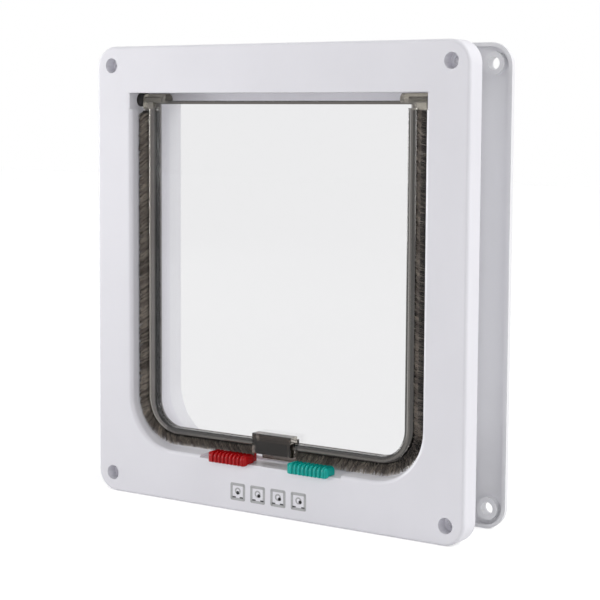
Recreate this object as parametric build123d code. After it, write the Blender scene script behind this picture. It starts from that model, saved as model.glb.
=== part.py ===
from build123d import *
import os

# A cat flap for a house door: a room-side frame and an outer frame whose sleeves telescope to
# the door's thickness, a smoked swing panel with pile seals, two magnets and two sliding locks.
# Millimetres. X runs to the right as the room side is seen, Y from the room into the door, Z up.
# The origin is the centre of the four screw holes, in the plane where the room-side frame
# meets the door.

# Outline shared by the two frames
FRAME_WIDTH = 235.0
FRAME_HEIGHT = 250.0
FRAME_CORNER = 12.0

# Room-side frame, a tray that is open towards the door
FRONT_DEPTH = 12.0
FRONT_WALL = 2.2
FRONT_EDGE_ROUND = 1.8
FRONT_SLEEVE_LENGTH = 23.0
STIFFENER_THICKNESS = 1.6
STIFFENER_HEIGHT = 5.5
STIFFENER_SPREAD_X = 60.0
STIFFENER_SPREAD_Z = 42.0

# Borders of the face around the opening
SIDE_BORDER = 24.5
TOP_BORDER = 25.5
BOTTOM_BORDER = 28.0
OPENING_CORNER = 28.0
OPENING_ROUND = 2.2

# Four screws, one in each corner
SCREW_MARGIN = 10.5
SCREW_HOLE_RADIUS = 2.3
SCREW_HEAD_RADIUS = 4.1
SCREW_HEAD_DEPTH = 7.0
FRONT_BOSS_RADIUS = 5.9

# Outer frame, a shallower tray that faces the first
DOOR_GAP = 32.5
REAR_DEPTH = 6.0
REAR_WALL = 2.0
REAR_EDGE_ROUND = 4.0
REAR_OPENING_ROUND = 2.6
REAR_HOLE_RADIUS = 3.3
REAR_BOSS_RADIUS = 5.85
SLEEVE_OVERLAP = 10.5
SLEEVE_CLEARANCE = 0.3

# Swing panel, set back from the face and clear of the opening all round, and the lip behind its top
PANEL_SETBACK = 9.1
PANEL_THICKNESS = 2.2
PANEL_SIDE_GAP = 2.2
PANEL_TOP_GAP = 4.3
PANEL_SILL_GAP = 6.0
RIM_SIDE_INSET = 5.6
RIM_TOP_INSET = 3.7
RIM_BOTTOM_INSET = 2.0
RIM_WIDTH = 5.3
RIM_SILL_WIDTH = 3.5
RIM_HEIGHT = 4.1
RIM_ROUND = 1.2
TOP_BEAD_HEIGHT = 1.8
TOP_BEAD_DEPTH = 1.5
DRAUGHT_LIP_SETBACK = 8.7
DRAUGHT_LIP_THICKNESS = 2.2
DRAUGHT_LIP_DROP = 4.6

# Hinge, about an axis along X at the top of the panel
HINGE_RISE = 0.5
BARREL_RADIUS = 3.4
BARREL_FLAT_DROP = 1.6
BARREL_LENGTH = 15.3
BARREL_GAP = 0.3
LUG_DROP = 4.9
LUG_LEG_WIDTH = 6.9
PIN_RADIUS = 1.0
PIN_PRESS_CLEARANCE = 0.02
PIN_RUNNING_CLEARANCE = 0.08
PIN_PRESS_DEPTH = 11.3
BUSH_RADIUS = 3.7
BUSH_PROUD = 2.9
BUSH_SEAT_DEPTH = 3.0
BUSH_SWING_CLEARANCE = 0.4
HINGE_BLOCK_DROP = 5.0
HINGE_BLOCK_BACK_REACH = 5.2
HINGE_BLOCK_RECESS = 1.2
HINGE_FLANGE_THICKNESS = 3.2
HINGE_FLANGE_LAP = 1.6
SEAT_CLEARANCE = 0.1

# Pile strips on the panel's edge
PILE_SIDE_GAP = 1.2
PILE_SILL_GAP = 3.7
PILE_LUG_GAP = 1.0
PILE_RIM_GAP = 0.2
PILE_DEPTH = 3.8
PILE_ROUND = 0.9
PILE_LEFT_GAP = 2.0

# Magnet clip at the bottom of the panel
CLIP_HALF_WIDTH = 12.5
CLIP_DROP = 1.6
CLIP_HEIGHT = 10.9
CLIP_DEPTH = 6.8
CLIP_GRIP_HEIGHT = 8.8
CLIP_BACK_THICKNESS = 1.9
CLIP_BRIDGE_HEIGHT = 3.4
CLIP_ROUND = 1.0
CLIP_SLOT_CLEARANCE = 0.06
KEEPER_SILL_GAP = 0.3
KEEPER_SIDE_GAP = 1.2
EDGE_NOTCH_WIDTH = 5.3
PANEL_MAGNET_LENGTH = 20.0
PANEL_MAGNET_DEPTH = 4.0
PANEL_MAGNET_HEIGHT = 7.0
PANEL_MAGNET_COVER = 1.5

# Lane in the sill for the two locks
LANE_DEPTH = 1.6
LANE_END_ROOM = 6.7
LANE_FLOOR_THICKNESS = 1.8
LANE_END_WALL = 2.0
LANE_BACK_WALL = 1.2
LANE_SLOT_SETBACK = 5.0
LANE_SLOT_WIDTH = 2.6

# Sliding locks
LOCK_TRAVEL = 11.0
LOCK_CLEARANCE = 0.2
LOCK_PILE_GAP = 0.5
LOCK_WEB_LENGTH = 12.0
LOCK_WEB_INSET = 8.0
GRIP_INNER = 12.8
GRIP_LENGTH = 26.0
GRIP_PROUD = 2.2
GRIP_DROP = 2.7
GRIP_DEPTH = 5.0
GRIP_FACE_GAP = 0.25
GRIP_BROW_ROUND = 2.6
GRIP_TOE_ROUND = 0.8
GRIP_END_ROUND = 2.3
GRIP_RIBS = 11
GRIP_RIB_WIDTH = 1.2
GRIP_GROOVE = 0.7
GRIP_CAP = 2.4
TONGUE_SETBACK = 2.2
TONGUE_WIDTH = 2.7
TONGUE_KEEPER_GAP = 0.5
FOOT_LENGTH = 6.0
FOOT_INSET = 9.0
FOOT_NECK_WIDTH = 2.0
FOOT_HEAD_WIDTH = 4.0
FOOT_HEAD_THICKNESS = 1.5
FOOT_CLEARANCE = 0.3

# Magnet under the sill
SILL_MAGNET_LENGTH = 20.0
SILL_MAGNET_WIDTH = 8.0
SILL_MAGNET_HEIGHT = 5.0
SILL_MAGNET_OFFSET = 1.3
SILL_CRADLE_WALL = 1.6
SILL_MAGNET_CLEARANCE = 0.15

# Places worked out from the sizes above: frames and opening
FACE_Y = -FRONT_DEPTH
OPENING_HALF_WIDTH = FRAME_WIDTH / 2 - SIDE_BORDER
OPENING_TOP = FRAME_HEIGHT / 2 - TOP_BORDER
OPENING_BOTTOM = BOTTOM_BORDER - FRAME_HEIGHT / 2
SLEEVE_OUTER = OPENING_HALF_WIDTH + FRONT_WALL
SCREW_X = FRAME_WIDTH / 2 - SCREW_MARGIN
SCREW_Z = FRAME_HEIGHT / 2 - SCREW_MARGIN
REAR_RIM_Y = DOOR_GAP
REAR_FACE_Y = REAR_RIM_Y + REAR_DEPTH
REAR_SLEEVE_START = FRONT_SLEEVE_LENGTH - SLEEVE_OVERLAP

# Panel and rim
PANEL_FRONT = FACE_Y + PANEL_SETBACK
PANEL_BACK = PANEL_FRONT + PANEL_THICKNESS
PANEL_HALF_WIDTH = OPENING_HALF_WIDTH - PANEL_SIDE_GAP
PANEL_TOP = OPENING_TOP - PANEL_TOP_GAP
PANEL_BOTTOM = OPENING_BOTTOM + PANEL_SILL_GAP
PANEL_CORNER = OPENING_CORNER - PANEL_SIDE_GAP
RIM_FRONT = PANEL_FRONT - RIM_HEIGHT
RIM_OUTER = PANEL_HALF_WIDTH - RIM_SIDE_INSET
RIM_INNER = RIM_OUTER - RIM_WIDTH
RIM_TOP = PANEL_TOP - RIM_TOP_INSET
RIM_BOTTOM = PANEL_BOTTOM + RIM_BOTTOM_INSET
RIM_CORNER = PANEL_CORNER - RIM_SIDE_INSET
DRAUGHT_LIP_FRONT = PANEL_BACK + DRAUGHT_LIP_SETBACK

# Hinge
HINGE_Y = PANEL_FRONT + PANEL_THICKNESS / 2
HINGE_Z = PANEL_TOP + HINGE_RISE
BUSH_INNER = OPENING_HALF_WIDTH - BUSH_PROUD
BUSH_OUTER = OPENING_HALF_WIDTH + BUSH_SEAT_DEPTH
BARREL_OUTER = BUSH_INNER - BARREL_GAP
BARREL_INNER = BARREL_OUTER - BARREL_LENGTH
LUG_BOTTOM = HINGE_Z - LUG_DROP
LUG_LEG_INNER = BARREL_OUTER - LUG_LEG_WIDTH
PIN_INNER = BARREL_OUTER - PIN_PRESS_DEPTH
HINGE_BLOCK_BOTTOM = HINGE_Z - HINGE_BLOCK_DROP
HINGE_BLOCK_FRONT = FACE_Y + SEAT_CLEARANCE
HINGE_BLOCK_BACK = HINGE_Y + HINGE_BLOCK_BACK_REACH
HINGE_BLOCK_INNER = OPENING_HALF_WIDTH + HINGE_BLOCK_RECESS
HINGE_FLANGE_FRONT = FACE_Y + FRONT_WALL + SEAT_CLEARANCE
HINGE_FLANGE_OUTER = SLEEVE_OUTER + HINGE_FLANGE_THICKNESS

# Pile, clip and keeper
PILE_HALF_WIDTH = OPENING_HALF_WIDTH - PILE_SIDE_GAP
PILE_TOP = LUG_BOTTOM - PILE_LUG_GAP
PILE_BOTTOM = OPENING_BOTTOM + PILE_SILL_GAP
PILE_CORNER = OPENING_CORNER - PILE_SIDE_GAP
PILE_FRONT = PANEL_FRONT - PILE_DEPTH
CLIP_BOTTOM = PANEL_BOTTOM - CLIP_DROP
CLIP_TOP = CLIP_BOTTOM + CLIP_HEIGHT
CLIP_FRONT = PANEL_FRONT - CLIP_DEPTH
CLIP_BRIDGE_TOP = CLIP_BOTTOM + CLIP_BRIDGE_HEIGHT
KEEPER_HALF_WIDTH = GRIP_INNER - KEEPER_SIDE_GAP
KEEPER_BOTTOM = OPENING_BOTTOM + KEEPER_SILL_GAP
KEEPER_FRONT = PANEL_BACK + CLIP_SLOT_CLEARANCE
KEEPER_BACK = KEEPER_FRONT + CLIP_BACK_THICKNESS

# Sill lane and locks
LANE_FLOOR = OPENING_BOTTOM - LANE_DEPTH
LANE_UNDERSIDE = LANE_FLOOR - LANE_FLOOR_THICKNESS
LANE_SLOT_Y = FACE_Y + LANE_SLOT_SETBACK
LOCK_SEAT = LANE_FLOOR + LOCK_CLEARANCE
LOCK_TOP = PILE_BOTTOM - LOCK_PILE_GAP
GRIP_OUTER = GRIP_INNER + GRIP_LENGTH
GRIP_FRONT = FACE_Y - GRIP_PROUD
GRIP_BOTTOM = OPENING_BOTTOM - GRIP_DROP
GRIP_BACK = FACE_Y + GRIP_DEPTH
TONGUE_INNER = GRIP_INNER + TONGUE_SETBACK
WEB_OUTER = GRIP_OUTER - LOCK_WEB_INSET
WEB_INNER = WEB_OUTER - LOCK_WEB_LENGTH
RED_TONGUE_BACK = PANEL_BACK - TONGUE_KEEPER_GAP
GREEN_TONGUE_BACK = KEEPER_BACK + TONGUE_KEEPER_GAP + TONGUE_WIDTH
LANE_BACK = GREEN_TONGUE_BACK + LOCK_CLEARANCE
LANE_HALF_LENGTH = GRIP_OUTER + LANE_END_ROOM
FOOT_OUTER = GRIP_OUTER - FOOT_INSET
FOOT_INNER = FOOT_OUTER - FOOT_LENGTH
SILL_MAGNET_Y = HINGE_Y + SILL_MAGNET_OFFSET
SILL_MAGNET_FLOOR = LANE_UNDERSIDE - SILL_MAGNET_HEIGHT - SILL_MAGNET_CLEARANCE


def prism(outline, y_from, y_to):
    """Draw an X-Z outline out along Y."""
    sheet = Plane((0, y_from, 0), x_dir=(1, 0, 0), z_dir=(0, -1, 0)) * outline
    return extrude(sheet, amount=y_to - y_from, dir=(0, 1, 0))


def rail(outline, x_from, x_to):
    """Draw a Y-Z outline out along X."""
    return extrude(Plane.YZ.offset(x_from) * outline, amount=x_to - x_from, dir=(1, 0, 0))


def block(x_span, y_span, z_span):
    """Box between two limits on each axis."""
    spans = (x_span, y_span, z_span)
    centre = [(low + high) / 2 for low, high in spans]
    return Pos(*centre) * Box(*[high - low for low, high in spans])


def rod_x(radius, x_from, x_to, y, z):
    """Round bar along X."""
    return Pos((x_from + x_to) / 2, y, z) * Rot(0, 90, 0) * Cylinder(radius, x_to - x_from)


def rod_y(radius, y_from, y_to, x, z):
    """Round bar along Y."""
    return Pos(x, (y_from + y_to) / 2, z) * Rot(90, 0, 0) * Cylinder(radius, y_to - y_from)


def portal(half_width, top, bottom, corner):
    """Doorway outline, square at the top and rounded at its two lower corners."""
    flat = Pos(0, (top + bottom) / 2) * Rectangle(2 * half_width, top - bottom)
    return fillet(flat.vertices().group_by(Axis.Y)[0], corner)


def opening_outline(grow):
    """Outline of the opening, grown outwards by a wall or a clearance."""
    half_width = OPENING_HALF_WIDTH + grow
    return portal(half_width, OPENING_TOP + grow, OPENING_BOTTOM - grow, OPENING_CORNER + grow)


def frame_outline(inset):
    """Outer outline of both frames, inset by a wall."""
    return RectangleRounded(FRAME_WIDTH - 2 * inset, FRAME_HEIGHT - 2 * inset, FRAME_CORNER - inset)


def screw_places():
    """Centres of the four screws, in X and Z."""
    signs = ((-1, -1), (1, -1), (-1, 1), (1, 1))
    return [(sx * SCREW_X, sz * SCREW_Z) for sx, sz in signs]


def stiffeners():
    """Thin webs in the room-side tray from the sleeve to the skirt, two on each side."""
    half = STIFFENER_THICKNESS / 2
    skirt_x = FRAME_WIDTH / 2 - FRONT_WALL
    skirt_z = FRAME_HEIGHT / 2 - FRONT_WALL
    y_from = FACE_Y + FRONT_WALL
    y_span = (y_from, y_from + STIFFENER_HEIGHT)
    webs = []
    for sign in (-1, 1):
        z_span = (sign * STIFFENER_SPREAD_Z - half, sign * STIFFENER_SPREAD_Z + half)
        x_span = (sign * STIFFENER_SPREAD_X - half, sign * STIFFENER_SPREAD_X + half)
        webs.append(block((-skirt_x, -SLEEVE_OUTER), y_span, z_span))
        webs.append(block((SLEEVE_OUTER, skirt_x), y_span, z_span))
        webs.append(block(x_span, y_span, (OPENING_TOP + FRONT_WALL, skirt_z)))
        webs.append(block(x_span, y_span, (-skirt_z, OPENING_BOTTOM - FRONT_WALL)))
    return webs


def hinge_slot(inner, clearance):
    """Window in the right-hand sleeve wall, or the part of it that a hinge block fills."""
    return block(
        (inner, SLEEVE_OUTER),
        (HINGE_BLOCK_FRONT - clearance, HINGE_BLOCK_BACK + clearance),
        (HINGE_BLOCK_BOTTOM - clearance, OPENING_TOP - SEAT_CLEARANCE + clearance),
    )


def sill_cradle():
    """Pocket block under the lane that holds the sill magnet."""
    wall = SILL_CRADLE_WALL
    half_length = SILL_MAGNET_LENGTH / 2 + SILL_MAGNET_CLEARANCE
    half_width = SILL_MAGNET_WIDTH / 2 + SILL_MAGNET_CLEARANCE
    front = SILL_MAGNET_Y - half_width
    back = SILL_MAGNET_Y + half_width
    outside = block(
        (-half_length - wall, half_length + wall),
        (front - wall, back),
        (SILL_MAGNET_FLOOR - wall, LANE_UNDERSIDE),
    )
    return outside - block((-half_length, half_length), (front, back), (SILL_MAGNET_FLOOR, LANE_UNDERSIDE))


def front_frame():
    """Room-side frame: face, skirt, sleeve, screw bosses, draught lip, sill lane and hinge windows."""
    body = prism(frame_outline(0), FACE_Y, 0)
    body = fillet(body.faces().sort_by(Axis.Y)[0].edges(), FRONT_EDGE_ROUND)
    body -= prism(frame_outline(FRONT_WALL), FACE_Y + FRONT_WALL, 0)
    body += prism(opening_outline(FRONT_WALL), FACE_Y, FRONT_SLEEVE_LENGTH)
    body += stiffeners()
    lane_half = LANE_HALF_LENGTH + LANE_END_WALL
    lane_wall_back = LANE_BACK + LANE_BACK_WALL
    body += block((-lane_half, lane_half), (FACE_Y, lane_wall_back), (LANE_UNDERSIDE, OPENING_BOTTOM))
    body += sill_cradle()
    for x, z in screw_places():
        body += rod_y(FRONT_BOSS_RADIUS, FACE_Y + FRONT_WALL, 0, x, z)
        body -= rod_y(SCREW_HEAD_RADIUS, FACE_Y, FACE_Y + SCREW_HEAD_DEPTH, x, z)
        body -= rod_y(SCREW_HOLE_RADIUS, FACE_Y, 0, x, z)
    body -= prism(opening_outline(0), FACE_Y, FRONT_SLEEVE_LENGTH)
    body = fillet(opening_front_edges(body), OPENING_ROUND)
    body += block(
        (-OPENING_HALF_WIDTH, OPENING_HALF_WIDTH),
        (DRAUGHT_LIP_FRONT, DRAUGHT_LIP_FRONT + DRAUGHT_LIP_THICKNESS),
        (OPENING_TOP - DRAUGHT_LIP_DROP, OPENING_TOP),
    )
    slot = hinge_slot(OPENING_HALF_WIDTH, SEAT_CLEARANCE)
    body -= slot
    body -= mirror(slot, about=Plane.YZ)
    body -= block((-LANE_HALF_LENGTH, LANE_HALF_LENGTH), (FACE_Y, LANE_BACK), (LANE_FLOOR, OPENING_BOTTOM))
    for sign in (-1, 1):
        body -= foot_slot(sign)
    return body


def opening_front_edges(body):
    """Edges of the opening on the room face, apart from the straight top one."""
    face = body.faces().filter_by(Axis.Y).sort_by(Axis.Y)[0]
    ring = max(face.inner_wires(), key=lambda wire: wire.length)
    return ring.edges().sort_by(Axis.Z)[:-1]


def foot_slot(sign):
    """Slot in the lane's floor that a lock's foot runs in."""
    near = FOOT_INNER - LOCK_TRAVEL - FOOT_CLEARANCE
    far = FOOT_OUTER + FOOT_CLEARANCE
    half = LANE_SLOT_WIDTH / 2
    x_span = sorted((sign * near, sign * far))
    return block(x_span, (LANE_SLOT_Y - half, LANE_SLOT_Y + half), (LANE_UNDERSIDE, LANE_FLOOR))


def rear_frame():
    """Outer frame: shallow tray, sleeve that slips over the first one, and screw bosses."""
    bore = FRONT_WALL + SLEEVE_CLEARANCE
    floor_y = REAR_FACE_Y - REAR_WALL
    body = prism(frame_outline(0), REAR_RIM_Y, REAR_FACE_Y)
    body = fillet(body.faces().sort_by(Axis.Y)[-1].edges(), REAR_EDGE_ROUND)
    body -= prism(frame_outline(REAR_WALL), REAR_RIM_Y, floor_y)
    body += prism(opening_outline(bore + REAR_WALL), REAR_SLEEVE_START, REAR_FACE_Y)
    for x, z in screw_places():
        body += rod_y(REAR_BOSS_RADIUS, REAR_RIM_Y, floor_y, x, z)
        body -= rod_y(REAR_HOLE_RADIUS, REAR_RIM_Y, REAR_FACE_Y, x, z)
    body -= prism(opening_outline(bore), REAR_SLEEVE_START, REAR_FACE_Y)
    back_face = body.faces().filter_by(Axis.Y).sort_by(Axis.Y)[-1]
    ring = max(back_face.inner_wires(), key=lambda wire: wire.length)
    return fillet(ring.edges(), REAR_OPENING_ROUND)


def rim_outline():
    """U-shaped rim of the panel, open at the top."""
    outer = portal(RIM_OUTER, RIM_TOP, RIM_BOTTOM, RIM_CORNER)
    return outer - portal(RIM_INNER, RIM_TOP, RIM_BOTTOM + RIM_SILL_WIDTH, RIM_CORNER - RIM_WIDTH)


def hinge_lug():
    """Right-hand barrel, flat underneath, and the leg that joins it to the panel."""
    front = HINGE_Y - BARREL_RADIUS
    leg = block((LUG_LEG_INNER, BARREL_OUTER), (front, PANEL_BACK), (LUG_BOTTOM, HINGE_Z))
    under = block(
        (BARREL_INNER, BARREL_OUTER),
        (front, HINGE_Y + BARREL_RADIUS),
        (HINGE_Z - BARREL_RADIUS, HINGE_Z - BARREL_FLAT_DROP),
    )
    return leg + (rod_x(BARREL_RADIUS, BARREL_INNER, BARREL_OUTER, HINGE_Y, HINGE_Z) - under)


def panel():
    """Swing panel with its rim, top bead, hinge barrels and the cut-outs for clip and lock."""
    rim = prism(rim_outline(), RIM_FRONT, PANEL_FRONT)
    crest = rim.faces().sort_by(Axis.Y)[0]
    rim = fillet(crest.edges().filter_by(lambda e: e.center().Z < RIM_TOP - RIM_WIDTH / 2), RIM_ROUND)
    sheet = prism(portal(PANEL_HALF_WIDTH, PANEL_TOP, PANEL_BOTTOM, PANEL_CORNER), PANEL_FRONT, PANEL_BACK)
    swing = BUSH_RADIUS + BUSH_SWING_CLEARANCE
    bush_room = rod_x(swing, BARREL_OUTER, PANEL_HALF_WIDTH, HINGE_Y, HINGE_Z)
    pin_room = rod_x(PIN_RADIUS + PIN_PRESS_CLEARANCE, PIN_INNER, BARREL_OUTER, HINGE_Y, HINGE_Z)
    lug = hinge_lug()
    body = sheet + rim
    body += block(
        (-RIM_INNER, RIM_INNER),
        (PANEL_FRONT - TOP_BEAD_DEPTH, PANEL_FRONT),
        (PANEL_TOP - TOP_BEAD_HEIGHT, PANEL_TOP),
    )
    for side in (lug, mirror(lug, about=Plane.YZ)):
        body += side
    for cut in (bush_room, pin_room):
        body -= cut
        body -= mirror(cut, about=Plane.YZ)
    clip_half = CLIP_HALF_WIDTH + CLIP_SLOT_CLEARANCE
    body -= block((-clip_half, clip_half), (RIM_FRONT, PANEL_FRONT), (RIM_BOTTOM, CLIP_TOP))
    bridge_top = CLIP_BRIDGE_TOP + CLIP_SLOT_CLEARANCE
    body -= block((-clip_half, clip_half), (RIM_FRONT, PANEL_BACK), (PANEL_BOTTOM, bridge_top))
    notch_from = -clip_half - EDGE_NOTCH_WIDTH
    body -= block((notch_from, -clip_half), (PANEL_FRONT, PANEL_BACK), (PANEL_BOTTOM, RIM_BOTTOM))
    return body


def magnet_clip():
    """Clip over the panel's bottom edge: a front box for the magnet and a keeper behind."""
    half = CLIP_HALF_WIDTH
    face = PANEL_FRONT - CLIP_SLOT_CLEARANCE
    box = block((-half, half), (CLIP_FRONT, face), (CLIP_BOTTOM, CLIP_TOP))
    box = fillet(box.faces().sort_by(Axis.Y)[0].edges(), CLIP_ROUND)
    keeper_span = (-KEEPER_HALF_WIDTH, KEEPER_HALF_WIDTH)
    grip_top = CLIP_BOTTOM + CLIP_GRIP_HEIGHT
    keeper = block(keeper_span, (KEEPER_FRONT, KEEPER_BACK), (KEEPER_BOTTOM, grip_top))
    bridge = block(keeper_span, (face, KEEPER_FRONT), (CLIP_BOTTOM, CLIP_BRIDGE_TOP))
    return box + keeper + bridge - magnet_bar(SEAT_CLEARANCE)


def magnet_bar(grow):
    """Bar in the clip, open at the bottom, grown by the room a pocket needs."""
    half = PANEL_MAGNET_LENGTH / 2 + grow
    front = CLIP_FRONT + PANEL_MAGNET_COVER
    y_span = (front - grow, front + PANEL_MAGNET_DEPTH + grow)
    return block((-half, half), y_span, (CLIP_BOTTOM, CLIP_BOTTOM + PANEL_MAGNET_HEIGHT + grow))


def panel_magnet():
    """Bar magnet pushed up into the clip."""
    return magnet_bar(0)


def sill_magnet():
    """Bar magnet that lies in the cradle under the sill."""
    half_length = SILL_MAGNET_LENGTH / 2
    half_width = SILL_MAGNET_WIDTH / 2
    return block(
        (-half_length, half_length),
        (SILL_MAGNET_Y - half_width, SILL_MAGNET_Y + half_width),
        (SILL_MAGNET_FLOOR, SILL_MAGNET_FLOOR + SILL_MAGNET_HEIGHT),
    )


def pile_ring():
    """Full run of pile round the panel's sides and bottom."""
    outer = portal(PILE_HALF_WIDTH, PILE_TOP, PILE_BOTTOM, PILE_CORNER)
    gap = PILE_RIM_GAP
    inner = portal(RIM_OUTER + gap, PILE_TOP, RIM_BOTTOM - gap, RIM_CORNER + gap)
    ring = prism(outer - inner, PILE_FRONT, PANEL_FRONT)
    crest = ring.faces().sort_by(Axis.Y)[0]
    return fillet(crest.edges().filter_by(lambda e: e.center().Z < PILE_TOP - PILE_ROUND), PILE_ROUND)


def pile_strip_left():
    """Left pile strip, from the hinge lug round the corner to the magnet clip."""
    end = -CLIP_HALF_WIDTH - PILE_LEFT_GAP
    keep = block((-PILE_HALF_WIDTH, end), (PILE_FRONT, PANEL_FRONT), (PILE_BOTTOM, PILE_TOP))
    return pile_ring() & keep


def pile_strip_right():
    """Right pile strip, from the magnet clip round the corner to the hinge lug."""
    end = CLIP_HALF_WIDTH + PILE_RIM_GAP
    keep = block((end, PILE_HALF_WIDTH), (PILE_FRONT, PANEL_FRONT), (PILE_BOTTOM, PILE_TOP))
    return pile_ring() & keep


def hinge_block():
    """Right-hand hinge block: closes the sleeve's window, set back a little, and carries the bush."""
    body = hinge_slot(HINGE_BLOCK_INNER, 0)
    lap = HINGE_FLANGE_LAP
    body += block(
        (SLEEVE_OUTER, HINGE_FLANGE_OUTER),
        (HINGE_FLANGE_FRONT, HINGE_BLOCK_BACK + lap),
        (HINGE_BLOCK_BOTTOM - lap, OPENING_TOP + lap),
    )
    body -= rod_x(BUSH_RADIUS + SEAT_CLEARANCE / 2, HINGE_BLOCK_INNER, BUSH_OUTER, HINGE_Y, HINGE_Z)
    return body - rod_x(PIN_RADIUS + PIN_RUNNING_CLEARANCE, BUSH_OUTER, HINGE_FLANGE_OUTER, HINGE_Y, HINGE_Z)


def hinge_bush():
    """Right-hand bush between the block and the panel's barrel."""
    body = rod_x(BUSH_RADIUS, BUSH_INNER, BUSH_OUTER, HINGE_Y, HINGE_Z)
    return body - rod_x(PIN_RADIUS + PIN_RUNNING_CLEARANCE, BUSH_INNER, BUSH_OUTER, HINGE_Y, HINGE_Z)


def hinge_pin():
    """Right-hand pin, pressed into the barrel and running in the bush."""
    return rod_x(PIN_RADIUS, PIN_INNER, HINGE_FLANGE_OUTER, HINGE_Y, HINGE_Z)


def grip_profile(inset):
    """Section of a lock's thumb grip, hooked over the room face."""
    front = GRIP_FRONT + inset
    top = LOCK_TOP - inset
    lip_back = FACE_Y - GRIP_FACE_GAP
    corners = [
        (front, GRIP_BOTTOM),
        (front, top),
        (GRIP_BACK, top),
        (GRIP_BACK, LOCK_SEAT),
        (lip_back, LOCK_SEAT),
        (lip_back, GRIP_BOTTOM),
    ]
    outline = make_face(Polyline(corners, close=True))
    brow = outline.vertices().group_by(Axis.X)[0].sort_by(Axis.Y)[-1]
    outline = fillet(brow, GRIP_BROW_ROUND)
    toe = outline.vertices().group_by(Axis.X)[0].sort_by(Axis.Y)[0]
    return fillet(toe, GRIP_TOE_ROUND)


def grip_envelope():
    """What a grip fills, seen from the room and from above, with its ends rounded off."""
    middle = (GRIP_INNER + GRIP_OUTER) / 2
    height = LOCK_TOP - GRIP_BOTTOM
    depth = GRIP_BACK - GRIP_FRONT
    elevation = Pos(middle, GRIP_BOTTOM + height / 2) * RectangleRounded(GRIP_LENGTH, height, GRIP_END_ROUND)
    plan = Pos(middle, GRIP_FRONT + depth / 2) * Rectangle(GRIP_LENGTH, depth)
    plan = fillet(plan.vertices().group_by(Axis.Y)[0], GRIP_END_ROUND)
    from_above = extrude(Plane.XY.offset(GRIP_BOTTOM) * plan, amount=height)
    return prism(elevation, GRIP_FRONT, GRIP_BACK) & from_above


def ribbed_grip():
    """Thumb grip of the right-hand lock: grooved core, ribs across it and rounded ends."""
    full = grip_profile(0)
    body = rail(grip_profile(GRIP_GROOVE), GRIP_INNER, GRIP_OUTER)
    pitch = (GRIP_LENGTH - GRIP_RIB_WIDTH) / (GRIP_RIBS - 1)
    for i in range(1, GRIP_RIBS - 1):
        start = GRIP_INNER + i * pitch
        body += rail(full, start, start + GRIP_RIB_WIDTH)
    for start in (GRIP_INNER, GRIP_OUTER - GRIP_CAP):
        body += rail(full, start, start + GRIP_CAP)
    return body & grip_envelope()


def lock(tongue_back):
    """Right-hand lock: grip, web under the panel, tongue beside the keeper and a snap foot."""
    body = ribbed_grip()
    body += block((WEB_INNER, WEB_OUTER), (GRIP_BACK, tongue_back), (LOCK_SEAT, OPENING_BOTTOM))
    tongue_front = tongue_back - TONGUE_WIDTH
    body += block((TONGUE_INNER, WEB_OUTER), (tongue_front, tongue_back), (LOCK_SEAT, LOCK_TOP))
    neck = FOOT_NECK_WIDTH / 2
    head = FOOT_HEAD_WIDTH / 2
    head_top = LANE_UNDERSIDE - FOOT_CLEARANCE
    body += block((FOOT_INNER, FOOT_OUTER), (LANE_SLOT_Y - neck, LANE_SLOT_Y + neck), (head_top, LOCK_SEAT))
    body += block(
        (FOOT_INNER, FOOT_OUTER),
        (LANE_SLOT_Y - head, LANE_SLOT_Y + head),
        (head_top - FOOT_HEAD_THICKNESS, head_top),
    )
    return body


def red_lock():
    """Left-hand lock, whose tongue passes in front of the keeper."""
    return mirror(lock(RED_TONGUE_BACK), about=Plane.YZ)


def green_lock():
    """Right-hand lock, whose tongue passes behind the keeper."""
    return lock(GREEN_TONGUE_BACK)


def nodes():
    """Every piece by its name."""
    pieces = {
        "front_frame": front_frame(),
        "rear_frame": rear_frame(),
        "panel": panel(),
        "magnet_clip": magnet_clip(),
        "panel_magnet": panel_magnet(),
        "sill_magnet": sill_magnet(),
        "pile_strip_left": pile_strip_left(),
        "pile_strip_right": pile_strip_right(),
        "red_lock": red_lock(),
        "green_lock": green_lock(),
    }
    handed = {"hinge_block": hinge_block(), "hinge_bush": hinge_bush(), "hinge_pin": hinge_pin()}
    for name, piece in handed.items():
        pieces[name + "_right"] = piece
        pieces[name + "_left"] = mirror(piece, about=Plane.YZ)
    return pieces


os.makedirs("parts", exist_ok=True)
for node_name, solid in nodes().items():
    export_step(solid, f"parts/{node_name}.step")
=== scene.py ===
"""Dresses a cat flap: white frames, smoked panel, brushed pile seals, locks and printed signs."""

import logging
import math
from dataclasses import dataclass, field
from enum import Enum

import bmesh
import bpy
import numpy as np
from mathutils import Matrix, Vector


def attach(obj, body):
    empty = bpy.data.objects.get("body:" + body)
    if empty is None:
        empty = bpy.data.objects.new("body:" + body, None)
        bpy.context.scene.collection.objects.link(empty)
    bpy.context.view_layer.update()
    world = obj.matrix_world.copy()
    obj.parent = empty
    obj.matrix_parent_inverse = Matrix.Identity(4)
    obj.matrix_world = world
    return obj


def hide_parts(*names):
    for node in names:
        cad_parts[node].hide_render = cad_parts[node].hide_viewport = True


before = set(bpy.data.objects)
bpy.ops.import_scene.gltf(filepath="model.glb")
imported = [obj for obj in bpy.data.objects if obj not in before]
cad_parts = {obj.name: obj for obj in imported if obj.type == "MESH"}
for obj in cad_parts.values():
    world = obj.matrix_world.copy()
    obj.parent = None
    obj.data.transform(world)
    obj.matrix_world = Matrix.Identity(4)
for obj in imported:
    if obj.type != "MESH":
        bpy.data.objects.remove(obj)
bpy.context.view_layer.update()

LOG = logging.getLogger("cat_flap")
MM = 0.001
Colour = tuple[float, float, float]
Place = tuple[float, float, float]
Pair = tuple[float, float]
Faces = list[list[int]]
Socket = bpy.types.NodeSocket


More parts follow.
